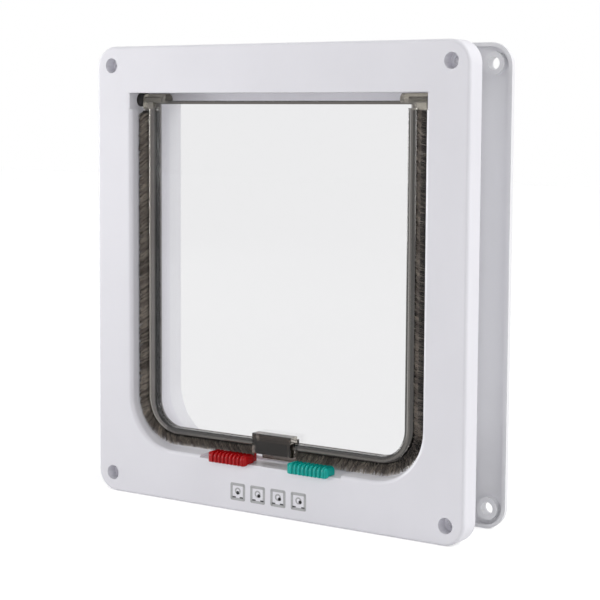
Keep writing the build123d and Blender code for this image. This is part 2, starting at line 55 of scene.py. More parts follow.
class Side(Enum):
    """Left or right as the room side is seen, with the sign of X there."""

    LEFT = -1
    RIGHT = 1


class Passage(Enum):
    """Which way the panel may swing.

    The values are places on a sign in millimetres: X and Z of its dot, and X of its two stops.
    """

    SHUT = (0.0, -0.95, -2.35, 2.35)
    OUT_ONLY = (0.85, -0.9, -2.35, 2.9)
    IN_ONLY = (1.0, -0.8, -2.75, 2.45)
    BOTH_WAYS = (1.1, -0.65, -2.75, 2.9)


def srgb(red: int, green: int, blue: int) -> Colour:
    """Turn a screen colour into the linear values that shaders take.

    Args:
        red: red, 0 to 255.
        green: green, 0 to 255.
        blue: blue, 0 to 255.

    Returns:
        The linear colour.
    """
    parts = [value / 255 for value in (red, green, blue)]
    linear = [p / 12.92 if p <= 0.04045 else ((p + 0.055) / 1.055) ** 2.4 for p in parts]
    return linear[0], linear[1], linear[2]


def shaded(colour: Colour, share: float, lift: float = 0.0) -> Colour:
    """Darken or brighten a linear colour, at most to white.

    Args:
        colour: the colour.
        share: what its values are multiplied by.
        lift: what is then added.

    Returns:
        The new colour.
    """
    red, green, blue = (min(1.0, value * share + lift) for value in colour)
    return red, green, blue


def new_object(name: str, data: bpy.types.ID) -> bpy.types.Object:
    """Put a mesh, a lamp or a camera into the scene as an object at the origin.

    Args:
        name: the object's name.
        data: what it shows; a mesh is already in the model's frame.

    Returns:
        The new object.
    """
    made = bpy.data.objects.new(name, data)
    bpy.context.scene.collection.objects.link(made)
    return made


class Graph:
    """Adds and links the nodes of one material or world."""

    def __init__(self, owner: bpy.types.Material | bpy.types.World) -> None:
        """Start with an empty node tree.

        Args:
            owner: the material or world whose nodes these are.
        """
        owner.use_nodes = True
        self.owner = owner
        self.tree = owner.node_tree
        self.tree.nodes.clear()
        kind = "World" if isinstance(owner, bpy.types.World) else "Material"
        self.output = self.add(f"ShaderNodeOutput{kind}")

    @classmethod
    def of_material(cls, name: str) -> "Graph":
        """Start a new material of this name."""
        return cls(bpy.data.materials.new(name))

    def add(self, kind: str, **settings: object) -> bpy.types.Node:
        """Add a node.

        Args:
            kind: the node's type name.
            settings: attributes to set on it.

        Returns:
            The node.
        """
        node = self.tree.nodes.new(kind)
        for key, value in settings.items():
            setattr(node, key, value)
        return node

    def feed(self, target: Socket, value: object) -> None:
        """Link a socket to an input, or set a plain value on it.

        Args:
            target: the input.
            value: an output socket or a value.
        """
        if isinstance(value, Socket):
            self.tree.links.new(value, target)
        else:
            target.default_value = value

    def place(self) -> Socket:
        """The object's own coordinates."""
        return self.add("ShaderNodeTexCoord").outputs["Object"]

    def axes(self, vector: Socket) -> list[Socket]:
        """Split a vector.

        Args:
            vector: the vector's socket.

        Returns:
            The sockets of X, Y and Z.
        """
        node = self.add("ShaderNodeSeparateXYZ")
        self.feed(node.inputs[0], vector)
        return list(node.outputs)

    def rays(self) -> bpy.types.bpy_prop_collection:
        """Kinds of ray that reach a surface or the world, as sockets by name."""
        return self.add("ShaderNodeLightPath").outputs

    def towards(self, vector: Socket, axis: Place) -> Socket:
        """How far a vector points along an axis.

        Args:
            vector: the vector's socket.
            axis: the axis, of length 1.

        Returns:
            The dot product's socket.
        """
        node = self.add("ShaderNodeVectorMath", operation="DOT_PRODUCT")
        self.feed(node.inputs[0], vector)
        node.inputs[1].default_value = axis
        return node.outputs["Value"]

    def math(self, operation: str, *values: object) -> Socket:
        """Combine values with a Math node.

        Args:
            operation: the node's operation.
            values: its inputs in order, sockets or numbers.

        Returns:
            The result's socket.
        """
        node = self.add("ShaderNodeMath", operation=operation)
        for target, value in zip(node.inputs, values):
            self.feed(target, value)
        return node.outputs[0]

    def noise(self, grain: float, detail: float, stretch: Place = (1, 1, 1)) -> Socket:
        """Noise over the object's own coordinates.

        Args:
            grain: size of a blotch in metres.
            detail: octaves of finer noise on top.
            stretch: how much finer the noise is along each axis.

        Returns:
            The noise value's socket, 0 to 1.
        """
        mapping = self.add("ShaderNodeMapping")
        self.feed(mapping.inputs["Vector"], self.place())
        mapping.inputs["Scale"].default_value = stretch
        node = self.add("ShaderNodeTexNoise")
        self.feed(node.inputs["Vector"], mapping.outputs[0])
        node.inputs["Scale"].default_value = 1 / grain
        node.inputs["Detail"].default_value = detail
        return node.outputs["Fac"]

    def ramp(self, factor: Socket, places: Pair, colours: tuple[Colour, Colour]) -> Socket:
        """Colour ramp from one colour to another.

        Args:
            factor: socket that picks the place on the ramp.
            places: where the change starts and ends, 0 to 1.
            colours: the colours there.

        Returns:
            The colour's socket.
        """
        node = self.add("ShaderNodeValToRGB")
        for stop, place, colour in zip(node.color_ramp.elements, places, colours):
            stop.position = place
            stop.color = (*colour, 1.0)
        self.feed(node.inputs["Fac"], factor)
        return node.outputs["Color"]

    def blend(self, factor: object, first: object, second: object) -> Socket:
        """Mix two colours.

        Args:
            factor: share of the second, socket or number.
            first: colour or socket at 0.
            second: colour or socket at 1.

        Returns:
            The mixed colour's socket.
        """
        node = self.add("ShaderNodeMix", data_type="RGBA")
        self.feed(node.inputs[0], factor)
        for target, value in ((node.inputs[6], first), (node.inputs[7], second)):
            self.feed(target, (*value, 1.0) if isinstance(value, tuple) else value)
        return node.outputs[2]

    def span(self, factor: object, low: float, high: float) -> Socket:
        """Spread a 0 to 1 value between two limits."""
        return self.math("MULTIPLY_ADD", factor, high - low, low)

    def bump(self, height: object, depth: float, under: Socket | None = None) -> Socket:
        """Bump from a height.

        Args:
            height: the height's socket, 0 to 1.
            depth: how deep the relief is, in metres.
            under: normal of the relief below this one, if any.

        Returns:
            The normal's socket.
        """
        node = self.add("ShaderNodeBump")
        node.inputs["Distance"].default_value = depth
        self.feed(node.inputs["Height"], height)
        if under is not None:
            self.feed(node.inputs["Normal"], under)
        return node.outputs["Normal"]

    def principled(self, **inputs: object) -> bpy.types.Node:
        """Principled shader, not yet linked to the output.

        Args:
            inputs: values or sockets by input name, with _ for a space.

        Returns:
            The shader node.
        """
        node = self.add("ShaderNodeBsdfPrincipled")
        for key, value in inputs.items():
            is_colour = isinstance(value, tuple) and len(value) == 3
            self.feed(node.inputs[key.replace("_", " ")], (*value, 1.0) if is_colour else value)
        return node

    def close(self, shader: bpy.types.Node) -> bpy.types.Material | bpy.types.World:
        """Link a shader to the output and hand back the finished material or world."""
        self.feed(self.output.inputs["Surface"], shader.outputs[0])
        return self.owner


@dataclass(frozen=True)
class MouldedPlastic:
    """Injection-moulded plastic with a fine spark-eroded grain and faint flow clouds."""

    name: str
    colour: Colour
    cloud: float = 0.03
    cloud_size: float = 40 * MM
    cloud_flow: Place = (1.0, 1.0, 0.6)
    cloud_stops: Pair = (0.3, 0.62)
    roughness: Pair = (0.34, 0.46)
    rough_patch: float = 6 * MM
    grain: float = 0.5 * MM
    relief: float = 0.012 * MM
    ior: float = 1.49
    shine: float = 0.5
    # Ribs of a grip, with X of the first and Y of their backs.
    rib_depth: float = 0.0
    rib_pitch: float = 2.48 * MM
    first_rib: float = 13.4 * MM
    rib_back: float = -7.2 * MM

    def ribs(self, graph: Graph) -> Socket:
        """Rounding of a grip's ribs, carried on to its ends.

        Args:
            graph: the material's graph.

        Returns:
            The height's socket, 1 on each rib's middle.
        """
        x, y, _ = graph.axes(graph.place())
        along = graph.math("SUBTRACT", graph.math("ABSOLUTE", x), self.first_rib)
        wave = graph.math("COSINE", graph.math("MULTIPLY", along, 2 * math.pi / self.rib_pitch))
        on_grip = graph.math("LESS_THAN", y, self.rib_back)
        return graph.math("MULTIPLY", graph.span(wave, 0.5, 1.0), on_grip)

    def material(self) -> bpy.types.Material:
        """Build the material.

        Returns:
            The material.
        """
        graph = Graph.of_material(self.name)
        dark = shaded(self.colour, 1 - self.cloud)
        clouds = graph.noise(self.cloud_size, detail=3.0, stretch=self.cloud_flow)
        patches = graph.noise(self.rough_patch, detail=4.0)
        relief = graph.bump(graph.noise(self.grain, detail=2.0), self.relief)
        if self.rib_depth:
            relief = graph.bump(self.ribs(graph), self.rib_depth, relief)
        shader = graph.principled(
            Base_Color=graph.ramp(clouds, self.cloud_stops, (dark, self.colour)),
            Roughness=graph.span(patches, *self.roughness),
            Normal=relief,
            IOR=self.ior,
            Specular_IOR_Level=self.shine,
        )
        return graph.close(shader)


@dataclass(frozen=True)
class SmokedPlastic:
    """Clear plastic sheet whose thick parts are smoked, with painted shade darkest on their rounded
    edges.
    """

    name: str
    # Tints by where a surface lies and which way it faces: the plastic's own smoke, with painted
    # light and shade on its walls, roundings and rim.
    clear: Colour = srgb(235, 235, 236)
    # Front of the left rim, plain there where the right is banded, as painted reflection; a piece
    # smoked all over takes it as its own tint.
    front: Colour = srgb(170, 164, 156)
    # Pale band of painted highlight on the rim's front, and the smoke of flats behind the crest.
    band: Colour = srgb(96, 92, 88)
    # Painted light on walls that face sideways.
    wall_painted_light: Colour = srgb(190, 186, 178)
    # Painted shade on roundings, outer walls and the dark lines beside the band; the streaks also
    # darken towards it.
    edge: Colour = srgb(34, 32, 30)
    lug: Colour = srgb(164, 159, 148)
    # The rim's inner outline, and distances outwards from it.
    half_width: float = 79.9 * MM
    bottom: float = -85.5 * MM
    corner: float = 14.9 * MM
    margin: float = 0.1 * MM
    inner_wall: float = 1.5 * MM
    band_from: float = 1.7 * MM
    band_to: float = 3.2 * MM
    # X up to which the left side is plain, without the banded painted highlight, Y of the rim's
    # crest, Z of the top bead.
    band_left: float = -72.0 * MM
    crest: float = -5.5 * MM
    bead: float = 93.4 * MM
    # Hinge lugs: a barrel and a leg at each end.
    barrel_inner: float = 74.3 * MM
    barrel_bottom: float = 94.0 * MM
    leg_inner: float = 82.8 * MM
    leg_bottom: float = 90.7 * MM
    lug_haze: float = 0.06
    lug_clarity: float = 0.8
    # Share of a normal along Y: where walls turn into roundings, and roundings into flats.
    rounding: Pair = (0.02, 0.12)
    flat: float = 0.94
    streak: float = 5 * MM
    streak_flow: Place = (0.4, 1.0, 0.4)
    streak_share: float = 0.25
    gloss: Pair = (0.015, 0.08)
    ior: float = 1.5
    smoked_all_over: bool = False

    def reach(self, graph: Graph) -> Socket:
        """How far a point lies outside the rim's inner outline.

        Args:
            graph: the material's graph.

        Returns:
            The distance's socket, negative inside.
        """
        x, _, z = graph.axes(graph.place())
        across = graph.math("SUBTRACT", graph.math("ABSOLUTE", x), self.half_width - self.corner)
        down = graph.math("SUBTRACT", self.bottom + self.corner, z)
        across_out = graph.math("POWER", graph.math("MAXIMUM", across, 0.0), 2.0)
        down_out = graph.math("POWER", graph.math("MAXIMUM", down, 0.0), 2.0)
        spread = graph.math("SQRT", graph.math("ADD", across_out, down_out))
        return graph.math("SUBTRACT", spread, self.corner)

    def smoke_share(self, graph: Graph) -> object:
        """Where the plastic is thick: outside the rim's inner outline and along the top edge.

        Args:
            graph: the material's graph.

        Returns:
            A socket that is 1 where the plastic is smoked and 0 where it is clear, or plain 1.
        """
        if self.smoked_all_over:
            return 1.0
        on_rim = graph.math("GREATER_THAN", self.reach(graph), -self.margin)
        on_bead = graph.math("GREATER_THAN", graph.axes(graph.place())[2], self.bead)
        return graph.math("MAXIMUM", on_rim, on_bead)

    def rim_front_painted_light(self, graph: Graph) -> object:
        """Tint of the surfaces that face the room: the rim has a paler band of painted highlight
        between two dark lines of painted shade, plain on the left as painted reflection.

        Args:
            graph: the material's graph.

        Returns:
            The tint's socket, or the plain tint of a piece without a rim.
        """
        if self.smoked_all_over:
            return self.front
        reach = self.reach(graph)
        # Painted highlight on a band of the rim's front, between dark lines of painted shade.
        inside = graph.math("GREATER_THAN", reach, self.band_from)
        on_band = graph.math("MULTIPLY", inside, graph.math("LESS_THAN", reach, self.band_to))
        painted_band_and_lines = graph.blend(on_band, self.edge, self.band)
        x, y, _ = graph.axes(graph.place())
        # Painted reflection: the left side's front is plain, the right and bottom are banded.
        crest = graph.blend(graph.math("LESS_THAN", x, self.band_left), painted_band_and_lines, self.front)
        return graph.blend(graph.math("LESS_THAN", y, self.crest), self.band, crest)

    def smoke_and_painted_shade(self, graph: Graph) -> Socket:
        """Tint of the thick parts: their smoke with painted light and shade, paler to the room and
        inwards, dark on roundings and outside.

        Args:
            graph: the material's graph.

        Returns:
            The tint's socket.
        """
        normal = graph.add("ShaderNodeNewGeometry").outputs["Normal"]
        facing = graph.math("ABSOLUTE", graph.axes(normal)[1])
        # Painted light on walls that face sideways, painted shade on roundings.
        sides = graph.ramp(facing, self.rounding, (self.wall_painted_light, self.edge))
        if not self.smoked_all_over:
            # Painted shade on walls outside the rim's inner wall.
            outside = graph.math("GREATER_THAN", self.reach(graph), self.inner_wall)
            sides = graph.blend(outside, sides, self.edge)
        flat = graph.math("GREATER_THAN", facing, self.flat)
        tint = graph.blend(flat, sides, self.rim_front_painted_light(graph))
        streaks = graph.noise(self.streak, detail=3.0, stretch=self.streak_flow)
        return graph.blend(graph.span(streaks, 0.0, self.streak_share), tint, self.edge)

    def on_lug(self, graph: Graph) -> Socket:
        """Where the hinge lugs are, which are cloudier than the rest.

        Args:
            graph: the material's graph.

        Returns:
            A socket that is 1 on the lugs.
        """
        x, _, z = graph.axes(graph.place())
        out = graph.math("ABSOLUTE", x)
        shares = []
        barrel = (self.barrel_inner, self.barrel_bottom)
        leg = (self.leg_inner, self.leg_bottom)
        for inner, bottom in (barrel, leg):
            above = graph.math("GREATER_THAN", z, bottom)
            shares.append(graph.math("MULTIPLY", graph.math("GREATER_THAN", out, inner), above))
        return graph.math("MAXIMUM", *shares)

    def material(self) -> bpy.types.Material:
        """Build the material, with a stand-in that lets lamps shine through.

        Returns:
            The material.
        """
        graph = Graph.of_material(self.name)
        share = self.smoke_share(graph)
        cloudy = self.on_lug(graph)
        smoke_and_painted_shade = graph.blend(cloudy, self.smoke_and_painted_shade(graph), self.lug)
        tint = graph.blend(share, self.clear, smoke_and_painted_shade)
        haze = graph.math("MULTIPLY", cloudy, self.lug_haze)
        shader = graph.principled(
            Base_Color=tint,
            Roughness=graph.math("ADD", graph.span(share, *self.gloss), haze),
            Transmission_Weight=graph.span(cloudy, 1.0, self.lug_clarity),
            IOR=self.ior,
        )
        lamps_through = graph.add("ShaderNodeBsdfTransparent")
        graph.feed(lamps_through.inputs["Color"], tint)
        mix = graph.add("ShaderNodeMixShader")
        graph.feed(mix.inputs[0], graph.rays()["Is Shadow Ray"])
        graph.feed(mix.inputs[1], shader.outputs[0])
        graph.feed(mix.inputs[2], lamps_through.outputs[0])
        return graph.close(mix)


@dataclass(frozen=True)
class BrushedPile:
    """Loose synthetic fibres, each of its own tone, paler at the tip and darkened towards the root
    as painted shade.
    """

    name: str
    # Painted shade deep in the pile, towards the fibres' roots; the backing takes this colour too.
    root: Colour = srgb(40, 36, 33)
    dark: Colour = srgb(122, 112, 104)
    pale: Colour = srgb(216, 203, 190)
    lit_from: float = 0.2
    roughness: float = 0.8
    sheen: float = 0.15
    sheen_roughness: float = 0.5

    def material(self) -> bpy.types.Material:
        """Build the material from each fibre's own tone and height.

        Returns:
            The material.
        """
        graph = Graph.of_material(self.name)
        tone = graph.add("ShaderNodeAttribute", attribute_name="tone").outputs["Fac"]
        height = graph.add("ShaderNodeAttribute", attribute_name="height").outputs["Fac"]
        fibre = graph.ramp(tone, (0.0, 1.0), (self.dark, self.pale))
        lit = graph.add("ShaderNodeMapRange", interpolation_type="SMOOTHSTEP")
        graph.feed(lit.inputs["Value"], height)
        lit.inputs["From Min"].default_value = self.lit_from
        shader = graph.principled(
            Base_Color=graph.blend(lit.outputs["Result"], self.root, fibre),
            Roughness=self.roughness,
            Sheen_Weight=self.sheen,
            Sheen_Roughness=self.sheen_roughness,
        )
        return graph.close(shader)


@dataclass(frozen=True)
class PrintedInk:
    """Pad-printed ink, a little uneven where it lies on the plastic's grain."""

    name: str
    colour: Colour
    thinning: Pair = (1.25, 0.01)
    patch: float = 0.6 * MM
    patch_stops: Pair = (0.35, 0.75)
    roughness: Pair = (0.45, 0.6)

    def material(self) -> bpy.types.Material:
        """Build the material.

        Returns:
            The material.
        """
        graph = Graph.of_material(self.name)
        patches = graph.noise(self.patch, detail=3.0)
        thin = shaded(self.colour, *self.thinning)
        shader = graph.principled(
            Base_Color=graph.ramp(patches, self.patch_stops, (self.colour, thin)),
            Roughness=graph.span(patches, *self.roughness),
        )
        return graph.close(shader)


@dataclass(frozen=True)
class DrawnSteel:
    """Drawn steel wire with fine lines along X."""

    name: str
    colour: Colour = srgb(176, 176, 178)
    darkening: float = 0.8
    line: float = 0.3 * MM
    line_flow: Place = (0.05, 1.0, 1.0)
    line_stops: Pair = (0.3, 0.7)
    roughness: Pair = (0.22, 0.4)
    relief: float = 0.004 * MM

    def material(self) -> bpy.types.Material:
        """Build the material.

        Returns:
            The material.
        """
        graph = Graph.of_material(self.name)
        lines = graph.noise(self.line, detail=4.0, stretch=self.line_flow)
        dark = shaded(self.colour, self.darkening)
        shader = graph.principled(
            Base_Color=graph.ramp(lines, self.line_stops, (dark, self.colour)),
            Roughness=graph.span(lines, *self.roughness),
            Normal=graph.bump(lines, self.relief),
            Metallic=1.0,
        )
        return graph.close(shader)


@dataclass(frozen=True)
class SinteredFerrite:
    """Dark pressed ferrite, matte and slightly pitted."""

    name: str
    colour: Colour = srgb(70, 66, 63)
    paling: float = 1.9
    pit: float = 0.8 * MM
    pit_stops: Pair = (0.35, 0.8)
    roughness: Pair = (0.5, 0.75)
    relief: float = 0.03 * MM

    def material(self) -> bpy.types.Material:
        """Build the material.

        Returns:
            The material.
        """
        graph = Graph.of_material(self.name)
        pits = graph.noise(self.pit, detail=5.0)
        pale = shaded(self.colour, self.paling)
        shader = graph.principled(
            Base_Color=graph.ramp(pits, self.pit_stops, (self.colour, pale)),
            Roughness=graph.span(pits, *self.roughness),
            Normal=graph.bump(pits, self.relief),
        )
        return graph.close(shader)


@dataclass
class Moulding:
    """CAD nodes that keep their shape and share one finish."""

    nodes: tuple[str, ...]
    finish: MouldedPlastic | SmokedPlastic | DrawnSteel | SinteredFerrite

    def dress(self) -> None:
        """Give each node the finish."""
        material = self.finish.material()
        for name in self.nodes:
            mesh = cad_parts[name].data
            mesh.materials.clear()
            mesh.materials.append(material)
            LOG.info("%s: %s", name, self.finish.name)


@dataclass
class PileStrip:
    """A length of brushed pile along one side of the panel and half of its bottom edge."""

    side: Side
    finish: BrushedPile
    seed: int
    end: float
    lean: float
    side_brush: Pair
    foot_brush: Pair
    outer: float = 91.8 * MM
    inner: float = 85.4 * MM
    top: float = 89.8 * MM
    outer_bottom: float = -93.3 * MM
    inner_bottom: float = -89.2 * MM
    outer_corner: float = 26.8 * MM
    inner_corner: float = 20.4 * MM
    root_y: float = -2.9 * MM
    depth: float = 3.8 * MM
    backing: float = 0.5 * MM
    backing_parts: int = 60
    fibres: int = 14500
    # Shares of the strip's length and width that carry fibres.
    stretch: Pair = (0.002, 0.998)
    rows: Pair = (0.03, 0.97)
    border_rows: Pair = (0.93, 0.99)
    border: float = 0.22
    # Painted shade along the sides' free edge: border fibres there are shaded as if only this share
    # of their height counted.
    edge_shade: float = 0.25
    # A fibre's form, by its sides, its thickness, its taper and how it bows.
    sides: int = 3
    radius: float = 0.11 * MM
    girth: Pair = (0.75, 1.25)
    taper: float = 0.45
    bow: float = 1.3
    # How soon the brushing turns at the corner, and the step that finds the strip's direction.
    quick: float = 3.0
    step: float = 0.5 * MM
    # Streaks, and how far they and their single fibres differ.
    streak: float = 0.9 * MM
    slant: float = 4.0 * MM
    lean_spread: Pair = (0.05, 0.08)
    brush_spread: Pair = (0.07 * MM, 0.1 * MM)
    fullness: float = 0.88
    tall_spread: Pair = (0.05, 0.04)
    tall_limits: Pair = (0.6, 0.985)
    tone: float = 0.45
    tone_spread: Pair = (0.34, 0.15)

    def run(self) -> tuple[float, float, float]:
        """Lengths of the straight side, the corner and the foot along the strip's middle.

        Returns:
            The three lengths.
        """
        corner = (self.outer_corner + self.inner_corner) / 2
        bottom = (self.outer_bottom + self.inner_bottom) / 2
        side = self.top - (bottom + corner)
        foot = (self.outer + self.inner) / 2 - corner - self.end
        return side, corner * math.pi / 2, foot

    def edge(self, along: np.ndarray, half: float, bottom: float, corner: float) -> np.ndarray:
        """Points on an edge of the right-hand strip.

        Args:
            along: distances along the strip's middle.
            half: half width of this edge's outline.
            bottom: lowest Z of the outline.
            corner: radius of its lower corner.

        Returns:
            X and Z of each point.
        """
        side, bend, foot = self.run()
        down = np.clip(along / side, 0, 1)
        turn = np.clip((along - side) / bend, 0, 1) * math.pi / 2
        back = np.clip((along - side - bend) / foot, 0, 1)
        x = half - corner + corner * np.cos(turn) - back * (half - corner - self.end)
        z = self.top + down * (bottom + corner - self.top) - corner * np.sin(turn)
        return np.stack([x, z], axis=1)

    def place(self, along: np.ndarray, across: np.ndarray) -> np.ndarray:
        """Points on the strip.

        Args:
            along: distances along its middle.
            across: 0 at the rim and 1 at the free edge.

        Returns:
            X and Z of each point, on this strip's own side.
        """
        near = self.edge(along, self.inner, self.inner_bottom, self.inner_corner)
        far = self.edge(along, self.outer, self.outer_bottom, self.outer_corner)
        point = near + (far - near) * across[:, None]
        point[:, 0] *= self.side.value
        return point

    def fibre(self) -> tuple[np.ndarray, Faces]:
        """One upright fibre of unit radius and unit length.

        Returns:
            Its vertices and faces.
        """
        form = bmesh.new()
        bmesh.ops.create_cone(
            form, segments=self.sides, radius1=1, radius2=self.taper, depth=1, cap_ends=False
        )
        bmesh.ops.translate(form, verts=form.verts, vec=(0, 0, 0.5))
        cut = form.verts[:] + form.edges[:] + form.faces[:]
        bmesh.ops.bisect_plane(form, geom=cut, plane_co=(0, 0, 0.5), plane_no=(0, 0, 1))
        form.verts.index_update()
        points = np.array([vert.co for vert in form.verts])
        faces = [[vert.index for vert in face.verts] for face in form.faces]
        form.free()
        return points, faces

    def turned(self, along: np.ndarray) -> np.ndarray:
        """Share of the change from the side to the foot, 0 to 1, at distances along the strip."""
        side, bend, _ = self.run()
        return np.clip(self.quick * (along - side) / bend, 0, 1)

    def brush(self, along: np.ndarray, across: np.ndarray) -> np.ndarray:
        """How far outwards the tips are brushed.

        Args:
            along: distances along the strip's middle.
            across: 0 at the rim and 1 at the free edge.

        Returns:
            The shift of each tip.
        """
        turned = self.turned(along)
        near = self.side_brush[0] + turned * (self.foot_brush[0] - self.side_brush[0])
        far = self.side_brush[1] + turned * (self.foot_brush[1] - self.side_brush[1])
        return near + across * (far - near)

    def vary(self, rng: np.random.Generator, streak: np.ndarray, spread: Pair) -> np.ndarray:
        """Differences between the streaks, and between the fibres of one.

        Args:
            rng: source of the differences.
            streak: number of each fibre's streak.
            spread: how far streaks and single fibres differ.

        Returns:
            Each fibre's difference.
        """
        of_streaks = rng.normal(0, spread[0], streak.max() + 1)
        return of_streaks[streak] + rng.normal(0, spread[1], len(streak))

    def pile(self, rng: np.random.Generator) -> tuple[np.ndarray, Faces, np.ndarray, np.ndarray]:
        """All fibres, in slanting streaks that lean together.

        Args:
            rng: source of the streaks' differences.

        Returns:
            Vertices, faces, and each vertex's tone and height, the height lowered on the sides'
            border fibres as painted shade.
        """
        count = self.fibres
        total = sum(self.run())
        along = rng.uniform(self.stretch[0] * total, self.stretch[1] * total, count)
        across = rng.uniform(*self.rows, count)
        at_border = rng.random(count) < self.border
        across[at_border] = rng.uniform(*self.border_rows, at_border.sum())
        streak = np.floor((along + (1 - across) * self.slant) / self.streak).astype(int)
        root = self.place(along, across)
        ahead = self.place(np.minimum(along + self.step, total), across)
        behind = self.place(np.maximum(along - self.step, 0), across)
        run = ahead - behind
        run /= np.linalg.norm(run, axis=1)[:, None]
        out = np.stack([-run[:, 1], run[:, 0]], axis=1) * self.side.value
        lean = self.lean + self.vary(rng, streak, self.lean_spread)
        tilt = self.brush(along, across) + self.vary(rng, streak, self.brush_spread)
        fullness = self.fullness + self.vary(rng, streak, self.tall_spread)
        tall = self.depth * np.clip(fullness, *self.tall_limits)
        points, faces = self.fibre()
        height = points[:, 2]
        sway = height**self.bow
        spot = np.empty((count, len(points), 3))
        shift = run[:, None, :] * (lean * tall)[:, None, None] * sway[None, :, None]
        shift += out[:, None, :] * tilt[:, None, None] * sway[None, :, None]
        girth = self.radius * rng.uniform(*self.girth, count)[:, None]
        spot[:, :, 0] = root[:, None, 0] + shift[:, :, 0] + points[None, :, 0] * girth
        spot[:, :, 2] = root[:, None, 1] + shift[:, :, 1] + points[None, :, 1] * girth
        spot[:, :, 1] = self.root_y - tall[:, None] * height[None, :]
        tone = np.clip(self.tone + self.vary(rng, streak, self.tone_spread), 0, 1)
        linked = [[i + n * len(points) for i in face] for n in range(count) for face in faces]
        tones = np.repeat(tone, len(points))
        # Painted shade: border fibres on the sides keep more of the root colour, fading out round
        # the corner.
        edge_shading = self.edge_shade + (1 - self.edge_shade) * self.turned(along)
        heights = np.where(at_border, edge_shading, 1.0)[:, None] * height[None, :]
        return spot.reshape(-1, 3), linked, tones, heights.ravel()

    def ground(self) -> bmesh.types.BMesh:
        """Woven backing under the fibres.

        Returns:
            The backing's mesh.
        """
        form = bmesh.new()
        bmesh.ops.create_grid(form, x_segments=self.backing_parts, y_segments=2, size=0.5)
        flat = np.array([vert.co for vert in form.verts])
        spots = self.place((flat[:, 0] + 0.5) * sum(self.run()), flat[:, 1] + 0.5)
        for vert, (x, z) in zip(form.verts, spots):
            vert.co = (x, self.root_y, z)
        raised = bmesh.ops.extrude_face_region(form, geom=form.faces[:])["geom"]
        verts = [item for item in raised if isinstance(item, bmesh.types.BMVert)]
        bmesh.ops.translate(form, verts=verts, vec=(0, -self.backing, 0))
        bmesh.ops.recalc_face_normals(form, faces=form.faces)
        form.verts.index_update()
        return form

    def build(self) -> None:
        """Make the strip and put it in the place of its CAD solid."""
        name = f"pile_{self.side.name.lower()}"
        points, faces, tones, heights = self.pile(np.random.default_rng(self.seed))
        ground = self.ground()
        base = len(points)
        points = np.vstack([points, [vert.co for vert in ground.verts]])
        faces = faces + [[vert.index + base for vert in face.verts] for face in ground.faces]
        under = len(ground.verts)
        ground.free()
        mesh = bpy.data.meshes.new(name)
        mesh.from_pydata(points.tolist(), [], faces)
        for key, values in (("tone", tones), ("height", heights)):
            layer = mesh.attributes.new(key, "FLOAT", "POINT")
            filled = np.concatenate([values, np.zeros(under)])
            layer.data.foreach_set("value", filled.astype(np.float32))
        mesh.materials.append(self.finish.material())
        mesh.shade_smooth()
        made = new_object(name, mesh)
        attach(made, "flap")
        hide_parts(f"pile_strip_{self.side.name.lower()}")
        LOG.info("%s: %d faces", name, len(mesh.polygons))


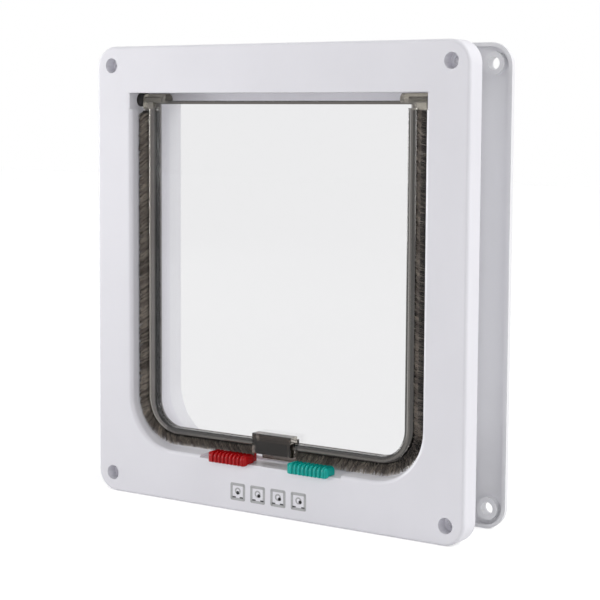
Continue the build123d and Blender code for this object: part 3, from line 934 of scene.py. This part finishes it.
@dataclass
class Pictogram:
    """A printed sign for one state of the locks: a frame, a doorway, a dot and two stops below."""

    state: Passage
    centre_x: float
    line: PrintedInk
    mark: PrintedInk
    centre_z: float = -114.2 * MM
    face_y: float = -12.0 * MM
    width: float = 9.7 * MM
    height: float = 9.5 * MM
    corner: float = 1.0 * MM
    corner_parts: int = 5
    stroke: float = 1.5 * MM
    doorway: float = 1.9 * MM
    doorway_rise: float = 0.45 * MM
    doorway_stroke: float = 0.85 * MM
    dot: float = 1.0 * MM
    round_parts: int = 32
    stop_size: Pair = (2.2 * MM, 0.75 * MM)
    stop_corner: float = 0.25 * MM
    stop_drop: float = 3.0 * MM
    ink: float = 0.03 * MM
    bite: float = 0.02 * MM

    def patch(
        self, form: bmesh.types.BMesh, size: Pair, corner: float, centre: Pair
    ) -> bmesh.types.BMFace:
        """Flat rounded rectangle.

        Args:
            form: the mesh being made, still lying in X and Y.
            size: width and height.
            corner: radius of the corners.
            centre: middle of the rectangle.

        Returns:
            Its face.
        """
        verts = bmesh.ops.create_grid(form, x_segments=1, y_segments=1, size=0.5)["verts"]
        bmesh.ops.scale(form, verts=verts, vec=(size[0], size[1], 1))
        bmesh.ops.translate(form, verts=verts, vec=(*centre, 0))
        cut = bmesh.ops.bevel(
            form,
            geom=verts,
            offset=corner,
            affect="VERTICES",
            segments=self.corner_parts,
            profile=0.5,
            material=-1,
        )
        return max(cut["verts"][0].link_faces, key=lambda face: face.calc_area())

    def disc(self, form: bmesh.types.BMesh, radius: float, centre: Pair) -> bmesh.types.BMFace:
        """Flat disc.

        Args:
            form: the mesh being made, still lying in X and Y.
            radius: the disc's radius.
            centre: its middle.

        Returns:
            Its face.
        """
        made = bmesh.ops.create_circle(
            form, cap_ends=True, segments=self.round_parts, radius=radius
        )
        verts = made["verts"]
        bmesh.ops.translate(form, verts=verts, vec=(*centre, 0))
        return verts[0].link_faces[0]

    def hollow(self, form: bmesh.types.BMesh, face: bmesh.types.BMFace, stroke: float) -> None:
        """Leave only a stroke of the given width along a filled face's outline."""
        bmesh.ops.inset_region(
            form, faces=[face], thickness=stroke, use_boundary=True, use_even_offset=True
        )
        bmesh.ops.delete(form, geom=[face], context="FACES")

    def build(self) -> None:
        """Draw the sign flat, give the ink its thickness and stand it against the face."""
        name = f"sign_{self.state.name.lower()}"
        dot_x, dot_z, left, right = (value * MM for value in self.state.value)
        form = bmesh.new()
        border = self.patch(form, (self.width, self.height), self.corner, (0, 0))
        self.hollow(form, border, self.stroke)
        ring = self.disc(form, self.doorway, (0, self.doorway_rise))
        self.hollow(form, ring, self.doorway_stroke)
        grey = set(form.faces)
        self.disc(form, self.dot, (dot_x, dot_z + self.doorway_rise))
        for place in (left, right):
            self.patch(form, self.stop_size, self.stop_corner, (place, -self.stop_drop))
        for face in form.faces:
            face.material_index = 0 if face in grey else 1
        flat = bmesh.ops.extrude_face_region(form, geom=form.faces[:])["geom"]
        raised = [item for item in flat if isinstance(item, bmesh.types.BMVert)]
        bmesh.ops.translate(form, verts=raised, vec=(0, 0, self.ink + self.bite))
        shift = Matrix.Translation((self.centre_x, self.face_y + self.bite, self.centre_z))
        stand = shift @ Matrix.Rotation(math.pi / 2, 4, "X")
        bmesh.ops.transform(form, verts=form.verts, matrix=stand)
        bmesh.ops.recalc_face_normals(form, faces=form.faces)
        mesh = bpy.data.meshes.new(name)
        form.to_mesh(mesh)
        form.free()
        for ink in (self.line, self.mark):
            mesh.materials.append(ink.material())
        made = new_object(name, mesh)
        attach(made, "room_frame")
        LOG.info("%s: %d faces", name, len(mesh.polygons))


@dataclass
class Lamp:
    """A round soft box that faces the object."""

    name: str
    place: Place
    power: float
    size: float

    def build(self) -> None:
        """Hang the lamp."""
        light = bpy.data.lights.new(self.name, "AREA")
        light.shape = "DISK"
        light.size = self.size
        light.energy = self.power
        made = new_object(self.name, light)
        made.location = self.place
        made.rotation_mode = "QUATERNION"
        made.rotation_quaternion = (-Vector(self.place)).to_track_quat("-Z", "Y")


@dataclass
class Studio:
    """Pale floor, white surroundings, soft boxes and the photograph's camera."""

    floor_z: float = -125.0 * MM
    floor_size: float = 8.0
    floor_tone: float = 0.78
    floor_lift: float = 0.55
    ambient: Pair = (0.22, 1.53)
    # Ways in which the surroundings are brightest and dimmest, and how sharply.
    bright_way: Place = (0.88, 0.0, 0.475)
    bright_focus: float = 4.0
    dim_way: Place = (0.555, -0.83, 0.05)
    dim_focus: float = 2.0
    dimming: float = 0.4
    # The camera's place, its angles in degrees, its lens in millimetres and its shift.
    eye: Place = (0.49094, -0.71631, 0.08720)
    turn: float = 33.786
    dip: float = 5.001
    roll: float = 0.335
    lens: float = 98.597
    sensor: float = 36.0
    nearest: float = 0.01
    shift: float = -40 / 600
    lamps: tuple[Lamp, ...] = field(
        default_factory=lambda: (
            Lamp("key", (-1.6, -0.75, 0.12), 17.4, 0.7),
            Lamp("top", (-0.6, -0.75, 0.55), 1.1, 0.6),
            Lamp("back", (0.9, 0.3, 0.9), 4.0, 0.6),
            Lamp("fill", (0.7, -1.1, 0.1), 1.7, 0.3),
        )
    )

    def floor(self) -> None:
        """Lay the floor, which keeps the shadow and is white elsewhere."""
        form = bmesh.new()
        bmesh.ops.create_grid(form, x_segments=1, y_segments=1, size=self.floor_size / 2)
        bmesh.ops.translate(form, verts=form.verts, vec=(0, 0, self.floor_z))
        mesh = bpy.data.meshes.new("floor")
        form.to_mesh(mesh)
        form.free()
        graph = Graph.of_material("floor_paper")
        matt = graph.add("ShaderNodeBsdfDiffuse")
        matt.inputs["Color"].default_value = (*[self.floor_tone] * 3, 1.0)
        glow = graph.add("ShaderNodeEmission")
        rays = graph.rays()
        seen = graph.math("MAXIMUM", rays["Is Camera Ray"], rays["Is Glossy Ray"])
        graph.feed(glow.inputs["Strength"], graph.math("MULTIPLY", seen, self.floor_lift))
        both = graph.add("ShaderNodeAddShader")
        graph.feed(both.inputs[0], matt.outputs[0])
        graph.feed(both.inputs[1], glow.outputs[0])
        through_glass = graph.add("ShaderNodeMixShader")
        graph.feed(through_glass.inputs[0], rays["Is Transmission Ray"])
        graph.feed(through_glass.inputs[1], both.outputs[0])
        graph.feed(through_glass.inputs[2], graph.add("ShaderNodeEmission").outputs[0])
        mesh.materials.append(graph.close(through_glass))
        new_object("floor", mesh)

    def world(self) -> None:
        """Light from all round, strongest from the right and weakest in front, seen as white."""
        graph = Graph(bpy.data.worlds.new("surroundings"))
        sky = graph.add("ShaderNodeBackground")
        sky.inputs["Color"].default_value = (1.0, 1.0, 1.0, 1.0)
        direction = graph.add("ShaderNodeTexCoord").outputs["Generated"]
        rightwards = graph.math("MULTIPLY_ADD", graph.towards(direction, self.bright_way), 0.5, 0.5)
        bright = graph.span(graph.math("POWER", rightwards, self.bright_focus), *self.ambient)
        forwards = graph.math("MAXIMUM", graph.towards(direction, self.dim_way), 0.0)
        dim = graph.math("MULTIPLY", graph.math("POWER", forwards, self.dim_focus), self.dimming)
        light = graph.math("SUBTRACT", bright, dim)
        rays = graph.rays()
        mirrored = graph.math("MAXIMUM", rays["Is Glossy Ray"], rays["Is Transmission Ray"])
        seen = graph.math("MAXIMUM", rays["Is Camera Ray"], mirrored)
        white = graph.math("MULTIPLY", graph.math("SUBTRACT", 1.0, light), seen)
        graph.feed(sky.inputs["Strength"], graph.math("ADD", light, white))
        bpy.context.scene.world = graph.close(sky)

    def camera(self) -> None:
        """Set the camera up at the photograph's viewing angle."""
        data = bpy.data.cameras.new("camera")
        data.sensor_width = self.sensor
        data.lens = self.lens
        data.shift_y = self.shift
        data.clip_start = self.nearest
        made = new_object("camera", data)
        turn = Matrix.Rotation(math.radians(self.turn), 4, "Z")
        dip = Matrix.Rotation(math.radians(90 - self.dip), 4, "X")
        roll = Matrix.Rotation(math.radians(self.roll), 4, "Z")
        made.matrix_world = Matrix.Translation(self.eye) @ turn @ dip @ roll
        bpy.context.scene.camera = made

    def build(self) -> None:
        """Set the whole studio up."""
        self.floor()
        self.world()
        for lamp in self.lamps:
            lamp.build()
        self.camera()
        bpy.context.scene.view_settings.view_transform = "Standard"
        LOG.info("studio: %d lamps", len(self.lamps))


def main() -> None:
    """Dress every node, add the new pieces and set the studio up."""
    logging.basicConfig(level=logging.INFO, format="%(message)s")
    white = MouldedPlastic("frame_white", srgb(232, 231, 237))
    Moulding(("front_frame", "hinge_block_left", "hinge_block_right"), white).dress()
    # Painted light: a paler, more neutral copy of the front frame's white, for the rear frame that
    # sits in shade behind it.
    Moulding(("rear_frame",), MouldedPlastic("outer_frame_white_painted_paler", srgb(239, 239, 242))).dress()
    Moulding(("panel",), SmokedPlastic("panel_smoked")).dress()
    # Painted highlight: the clip's side walls take the pale wall tint, and its roundings a tint a
    # little paler than its front.
    clip = SmokedPlastic(
        "clip_smoked",
        front=srgb(116, 106, 99),
        edge=srgb(118, 111, 104),
        gloss=(0.12, 0.12),
        ior=1.38,
        smoked_all_over=True,
    )
    Moulding(("magnet_clip",), clip).dress()
    for node, colour in (("red_lock", srgb(174, 8, 14)), ("green_lock", srgb(16, 174, 164))):
        ribbed = MouldedPlastic(
            node, colour, cloud=0.12, roughness=(0.2, 0.3), shine=0.2, rib_depth=0.5 * MM
        )
        Moulding((node,), ribbed).dress()
    bushes = MouldedPlastic("bush_black", srgb(34, 33, 33), cloud=0.2, roughness=(0.4, 0.55))
    Moulding(("hinge_bush_left", "hinge_bush_right"), bushes).dress()
    Moulding(("hinge_pin_left", "hinge_pin_right"), DrawnSteel("pin_steel")).dress()
    Moulding(("panel_magnet", "sill_magnet"), SinteredFerrite("magnet_ferrite")).dress()
    pile = BrushedPile("pile_fibre")
    left = PileStrip(
        Side.LEFT,
        pile,
        seed=11,
        end=14.5 * MM,
        lean=0.55,
        side_brush=(2.1 * MM, 0.4 * MM),
        foot_brush=(1.0 * MM, 1.6 * MM),
    )
    right = PileStrip(
        Side.RIGHT,
        pile,
        seed=23,
        end=12.0 * MM,
        lean=-0.35,
        side_brush=(-0.6 * MM, -4.1 * MM),
        foot_brush=(0.6 * MM, 2.4 * MM),
    )
    for strip in (left, right):
        strip.build()
    grey = PrintedInk("sign_grey", srgb(168, 168, 170))
    black = PrintedInk("sign_black", srgb(52, 52, 54))
    sign_places = (-19.7 * MM, -6.65 * MM, 6.5 * MM, 19.55 * MM)
    for state, centre_x in zip(Passage, sign_places):
        Pictogram(state, centre_x, grey, black).build()
    Studio().build()


if __name__ == "__main__":
    main()
